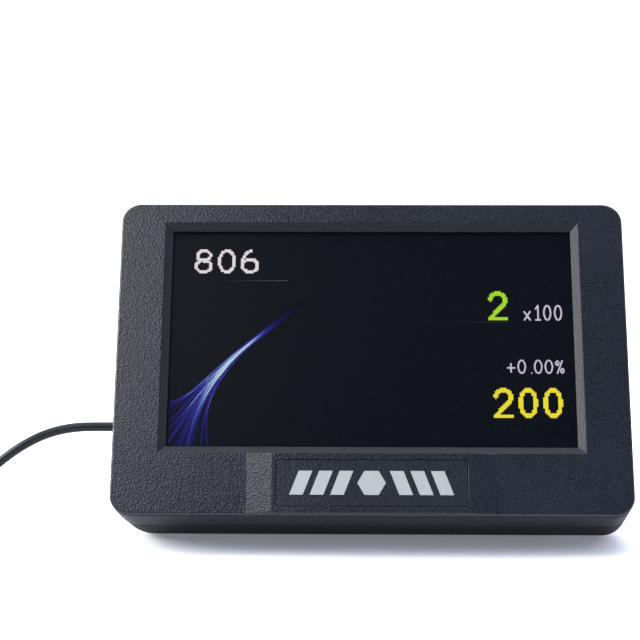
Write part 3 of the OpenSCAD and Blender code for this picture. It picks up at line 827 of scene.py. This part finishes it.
# A plain sweep of light in the lower left corner: strands fanned out at the foot, gathered and parted again.
# Places are (x, z) on the screen.
SWEEP_STRANDS = 44
SWEEP_FOOT = ((-48.3, -11.0), (-48.3, -22.4), (-38.6, -22.4))
SWEEP_WAIST = ((-41.4, -9.5), (-35.2, 1.5))
SWEEP_TIPS = ((-21.5, 8.6), (-12.5, 18.0))
SWEEP_X = (-48.3, -8.0)
SWEEP_Z = (-22.2, 21.5)
SWEEP_SEED = 11
WAIST_SPREAD = 0.28
WAIST_JITTER = 0.1
TIP_BIAS = 2.4
TIP_FADE = 0.4  # share of a strand's length over which its tip fades out
BRIGHT_PLACE = 1.55  # where along the foot the strands are brightest, and how far round it
BRIGHT_SPAN = 0.35
BRIGHT_GAIN = 0.22
GAINS = (0.16, 0.36)
LINE_WIDTHS = (0.13, 0.24)
FAINTEST = 0.006


def between(a, b, share):
    return np.array(a, float) + (np.array(b, float) - np.array(a, float)) * share


def sweep_strand(draw):
    """Curve, line width and brightness of one strand. Feet stand down the left side and along the bottom."""
    place = 2 * draw.random()
    side = int(place >= 1)
    foot = between(SWEEP_FOOT[side], SWEEP_FOOT[side + 1], place - side)
    spread = draw.gauss(0, WAIST_SPREAD)
    waist = [np.array(p) + np.array([spread + draw.gauss(0, WAIST_JITTER), -spread]) for p in SWEEP_WAIST]
    tip = between(SWEEP_TIPS[0], SWEEP_TIPS[1], draw.random() ** TIP_BIAS)
    curve = bezier([foot, waist[0], waist[1], tip])
    central = math.exp(-((place - BRIGHT_PLACE) / BRIGHT_SPAN) ** 2)
    gain = draw.uniform(*GAINS) + BRIGHT_GAIN * central
    return curve, draw.uniform(*LINE_WIDTHS), gain


def glow_at(grid):
    """Brightness of the sweep of light at each point."""
    draw = random.Random(SWEEP_SEED)
    total = np.zeros(len(grid))
    for _ in range(SWEEP_STRANDS):
        curve, line, gain = sweep_strand(draw)
        along = np.linspace(0, 1, len(curve))
        fade = np.clip((1 - along) / TIP_FADE, 0, 1) ** 1.6 * np.clip(0.5 + 1.4 * along, 0, 1)
        best = np.zeros(len(grid))
        for (px, pz), amount in zip(curve, fade):
            near = (np.abs(grid[:, 0] - px) < 3 * line) & (np.abs(grid[:, 1] - pz) < 3 * line)
            if near.any():
                d2 = (grid[near, 0] - px) ** 2 + (grid[near, 1] - pz) ** 2
                best[near] = np.maximum(best[near], amount * np.exp(-d2 / (0.5 * line * line)))
        total += best * gain
    return total


# Two thin lines under the headings: left, right, level and the colour at the right end
RULES = (
    (-37.0, -20.4, 19.9, (0.075, 0.065, 0.07)),
    (7.0, 33.2, 9.2, (0.02, 0.024, 0.03)),
)


def show_glow(name, points, faces, colours, material):
    """Shows a piece of the picture that has a colour of its own at each point."""
    mesh = mesh_from(name, points, faces)
    layer = mesh.color_attributes.new("glow", "FLOAT_COLOR", "POINT")
    for corner, colour in zip(layer.data, colours):
        corner.color = (*colour, 1)
    show_picture(name, mesh, material)


def make_rules(material):
    """The thin lines, which fade out to the left."""
    points, faces, colours = [], [], []
    for left, right, level, colour in RULES:
        n = len(points)
        top = level + PIXEL
        points += at_depth([(left, level), (right, level), (right, top), (left, top)], PICTURE_DEPTH)
        faces.append((n, n + 1, n + 2, n + 3))
        colours += [(0, 0, 0), colour, colour, (0, 0, 0)]
    show_glow("picture_rules", points, faces, colours, material)


def glow_colour(glow):
    """Blue where the sweep is faint, near white where it is bright."""
    g = min(glow, 1.1)
    core = max(g - 0.35, 0) / 0.75
    return 0.055 * g + 0.40 * core ** 2, 0.05 * g + 0.55 * core ** 1.6, 0.66 * g


def make_sweep():
    columns = int((SWEEP_X[1] - SWEEP_X[0]) / PIXEL)
    rows = int((SWEEP_Z[1] - SWEEP_Z[0]) / PIXEL)
    xs = SWEEP_X[0] + np.arange(columns + 1) * PIXEL
    zs = SWEEP_Z[0] + np.arange(rows + 1) * PIXEL
    grid = np.array([(x, z) for z in zs for x in xs])
    glow = glow_at(grid)
    wide = columns + 1
    quads = []
    for r in range(rows):
        for c in range(columns):
            corners = (r * wide + c, r * wide + c + 1, (r + 1) * wide + c + 1, (r + 1) * wide + c)
            if max(glow[k] for k in corners) > FAINTEST:
                quads.append(corners)
    used = sorted({k for quad in quads for k in quad})
    index = {k: i for i, k in enumerate(used)}
    points = [(grid[k][0], PICTURE_DEPTH + 0.01, grid[k][1]) for k in used]
    faces = [tuple(index[k] for k in quad) for quad in quads]
    n = picture_nodes("picture_streaks")
    attribute = n.add("ShaderNodeVertexColor", layer_name="glow")
    n.link(attribute.outputs["Color"], n.shader.inputs["Emission Color"])
    show_glow("picture_streaks", points, faces, [glow_colour(glow[k]) for k in used], n.material)
    make_rules(n.material)


make_sweep()

# ---------------------------------------------------------------- materials of the CAD nodes


def screen_material():
    """Anti-glare screen, with the faint uneven glow of a dark picture."""
    n = picture_nodes("screen")
    vector = n.coordinates()
    fine = n.noise(vector, 1.6 * PIXEL * MM, detail=2, roughness=0.8)
    n.link(n.ramp(fine, [(0.38, (0.0002, 0.0006, 0.0014)), (0.62, (0.0026, 0.0040, 0.0068))]),
           n.shader.inputs["Emission Color"])
    n.link(n.span(n.noise(vector, 0.0004, detail=1), 0.30, 0.38), n.shader.inputs["Roughness"])
    return n.material


def board_material():
    """Green solder mask over a net of copper tracks."""
    n = Nodes("circuit_board")
    vector = n.coordinates()
    edges = n.add("ShaderNodeTexVoronoi", feature="DISTANCE_TO_EDGE", distance="MANHATTAN", Scale=420)
    n.link(vector, edges.inputs["Vector"])
    n.link(n.ramp(edges.outputs["Distance"], [(0.04, (0.03, 0.22, 0.09)), (0.09, (0.01, 0.10, 0.04))]),
           n.shader.inputs["Base Color"])
    n.keep(Roughness=0.3)
    n.bump(edges.outputs["Distance"], 0.00003)
    return n.material


def brushed(name, colour, roughness, stretch=(60, 1, 1)):
    """Bare metal with fine marks across the stretched axis."""
    return mottled(name, colour, roughness, metallic=1.0, size=0.002, spread=0.08, grain=0.0012,
                   grain_depth=0.000004, rough_spread=0.08, stretch=stretch)


rubber = mottled("foot_rubber", (0.022, 0.022, 0.024), 0.78, size=0.002, spread=0.2, grain=0.00035,
                 grain_depth=0.00002, specular=0.35)
boot = mottled("boot_rubber", (0.015, 0.015, 0.017), 0.5, size=0.002, spread=0.2, grain=0.0003,
               grain_depth=0.00001, specular=0.35)
BOOT_SOFT = 0.2


def make_boot():
    """The lead's boot: the CAD node's own shape with its edges rounded."""
    source = frame["nodes"]["strain_relief"]
    mesh = source.data.copy()
    mesh.transform(source.matrix_world)
    piece = add_object("lead_boot", mesh)
    soften(piece, BOOT_SOFT, ((2, BOOT_TIP.z),), clamp=True)
    adopt(piece, [boot], "strain_relief")


make_boot()


def paint_cad_nodes():
    steel = brushed("zinc_steel", (0.62, 0.60, 0.56), 0.36)
    dark_steel = brushed("black_zinc", (0.10, 0.10, 0.11), 0.42)
    nylon = mottled("nylon", (0.74, 0.72, 0.66), 0.45, size=0.003, spread=0.06)
    looks = {
        "badge_plate": grained_plastic("badge_plate", (0.008, 0.009, 0.011), 0.26, 0.00036, 0.00006,
                                       spread=0.7, specular=0.33),
        "badge_mark": mottled("badge_print", (0.27, 0.28, 0.26), 0.5, size=0.002, spread=0.04, grain=0.0003,
                              grain_depth=0.000004),
        "lcd_gasket": mottled("foam", (0.015, 0.015, 0.016), 0.9, size=0.0006, spread=0.3, grain=0.0003,
                              grain_depth=0.00006),
        "lcd_glass": screen_material(),
        "lcd_frame": steel,
        "lcd_backlight": mottled("diffuser", (0.82, 0.82, 0.78), 0.4, size=0.01, spread=0.04),
        "lcd_brackets": steel,
        "lcd_screws": steel,
        "lcd_flex": mottled("flex_film", (0.5, 0.26, 0.06), 0.3, size=0.003, spread=0.15, stretch=(6, 1, 1)),
        "main_board": board_material(),
        "board_chips": mottled("chip_resin", (0.025, 0.025, 0.028), 0.6, size=0.0015, spread=0.2,
                               grain=0.0001, grain_depth=0.00001),
        "board_connectors": nylon,
        "board_capacitors": mottled("capacitor_sleeve", (0.03, 0.06, 0.14), 0.25, size=0.003, spread=0.1),
        "board_screws": steel,
        "cover_screws": dark_steel,
        "mount_inserts": brushed("brass", (0.78, 0.58, 0.25), 0.3),
        "foot_strip": rubber,
        "stand_leg": rear_grain,
        "stand_foot": rubber,
        "rating_label": mottled("label_film", (0.55, 0.56, 0.57), 0.35, size=0.004, spread=0.05,
                                grain=0.0005, grain_depth=0.000003),
        "inner_lead": jacket,
        "lead_clamp": nylon,
        "clamp_screws": steel,
        "hinge_pin": steel,
        "hinge_washers": steel,
        "hinge_retainer": steel,
        "cord_tie": mottled("tie_strip", (0.03, 0.03, 0.033), 0.6, size=0.001, spread=0.25, grain=0.0003,
                            grain_depth=0.00004),
        "plug_overmould": boot,
        "plug_shell": brushed("plug_nickel", (0.76, 0.72, 0.66), 0.26, stretch=(1, 60, 1)),
        "plug_insulator": nylon,
        "plug_contacts": brushed("contact_gold", (0.85, 0.62, 0.25), 0.2, stretch=(1, 60, 1)),
    }
    for node, material in looks.items():
        piece = frame["nodes"][node]
        piece.data.materials.clear()
        piece.data.materials.append(material)


paint_cad_nodes()

# ---------------------------------------------------------------- floor and light


FLOOR_HALF = 40.0
FLOOR_GLOW = 0.16
SKY_COLOUR = (0.45, 0.58, 1.0)
SKY_STRENGTH = 0.68
SUN_WATTS = 2.6
SUN_SPREAD = 120
SUN_TILT = -35
# name, place, what it is aimed at, width, height and watts
LAMPS = (
    ("key", (-0.198, -0.215, 0.335), (0, 0, 0.045), 0.22, 0.22, 0.80),
    ("side", (-0.95, -0.14, 0.50), (0, 0, 0.04), 0.3, 0.5, 15.0),
    ("top", (0, 0.16, 0.92), (0, 0, 0.04), 0.9, 0.4, 4.6),
    ("fill", (0.90, -0.10, 0.45), (0, 0, 0.04), 0.4, 0.5, 1.7),
)


def make_floor():
    half = FLOOR_HALF
    mesh = bpy.data.meshes.new("floor")
    mesh.from_pydata([(-half, -half, 0), (half, -half, 0), (half, half, 0), (-half, half, 0)], [],
                     [(0, 1, 2, 3)])
    floor = add_object("floor", mesh)
    paper = mottled("floor_paper", (0.92, 0.92, 0.91), 0.9, size=0.3, spread=0.01, specular=0.1)
    shader = paper.node_tree.nodes["Principled BSDF"]
    shader.inputs["Emission Color"].default_value = (1, 1, 1, 1)
    shader.inputs["Emission Strength"].default_value = FLOOR_GLOW
    mesh.materials.append(paper)


def area_light(name, place, target, width, height, watts):
    data = bpy.data.lights.new(name, "AREA")
    data.shape = "RECTANGLE"
    data.size = width
    data.size_y = height
    data.energy = watts
    lamp = add_object(name, data)
    aim = (Vector(target) - Vector(place)).to_track_quat("-Z", "Y")
    lamp.matrix_world = Matrix.Translation(Vector(place)) @ aim.to_matrix().to_4x4()


def make_lights():
    world = bpy.data.worlds.new("studio")
    world.use_nodes = True
    background = world.node_tree.nodes["Background"]
    background.inputs["Color"].default_value = (*SKY_COLOUR, 1)
    background.inputs["Strength"].default_value = SKY_STRENGTH
    scene.world = world
    for lamp in LAMPS:
        area_light(*lamp)
    data = bpy.data.lights.new("sky", "SUN")
    data.energy = SUN_WATTS
    data.angle = math.radians(SUN_SPREAD)
    sky = add_object("sky", data)
    sky.rotation_euler = (math.radians(SUN_TILT), 0, 0)


make_floor()
make_lights()
scene.view_settings.view_transform = "Standard"
